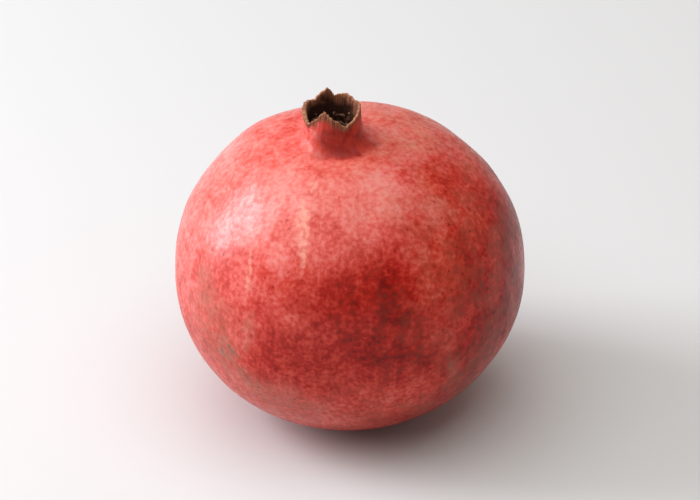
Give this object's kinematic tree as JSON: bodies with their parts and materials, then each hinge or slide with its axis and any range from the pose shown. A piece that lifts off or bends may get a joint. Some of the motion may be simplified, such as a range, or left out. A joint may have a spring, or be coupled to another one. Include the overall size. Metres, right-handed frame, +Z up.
{
  "type": "pomegranate",
  "caption": "Whole round pomegranate with a leathery red rind and a dried open crown, resting on its flattened stem end.",
  "frame": {"origin": "centre of the fruit's footprint, on the surface that it rests on", "axes": "+Z up from the stem end towards the crown, +X to the right and +Y away when seen from the front, where the crown leans left"},
  "size_m": [0.0954, 0.0942, 0.0949],
  "materials": {
    "rind": "satin leathery fruit skin, salmon pink to crimson, drying to brown on the crown",
    "stalk": "dry woody cut stalk",
    "style": "dried matt plant fibre",
    "stamen": "dried matt plant fibre"
  },
  "bodies": {
    "root": {"fruit": "rind", "stem_stub": "stalk", "style": "style", "stamen_01": "stamen", "stamen_02": "stamen", "stamen_03": "stamen", "stamen_04": "stamen", "stamen_05": "stamen", "stamen_06": "stamen", "stamen_07": "stamen", "stamen_08": "stamen", "stamen_09": "stamen", "stamen_10": "stamen", "stamen_11": "stamen", "stamen_12": "stamen", "stamen_13": "stamen", "stamen_14": "stamen", "stamen_15": "stamen", "stamen_16": "stamen", "stamen_17": "stamen", "stamen_18": "stamen", "stamen_19": "stamen", "stamen_20": "stamen", "stamen_21": "stamen", "stamen_22": "stamen", "stamen_23": "stamen", "stamen_24": "stamen", "stamen_25": "stamen", "stamen_26": "stamen", "stamen_27": "stamen", "stamen_28": "stamen", "stamen_29": "stamen", "stamen_30": "stamen", "stamen_31": "stamen", "stamen_32": "stamen", "stamen_33": "stamen", "stamen_34": "stamen", "stamen_35": "stamen", "stamen_36": "stamen", "stamen_37": "stamen", "stamen_38": "stamen", "stamen_39": "stamen", "stamen_40": "stamen"}
  },
  "joints": []
}
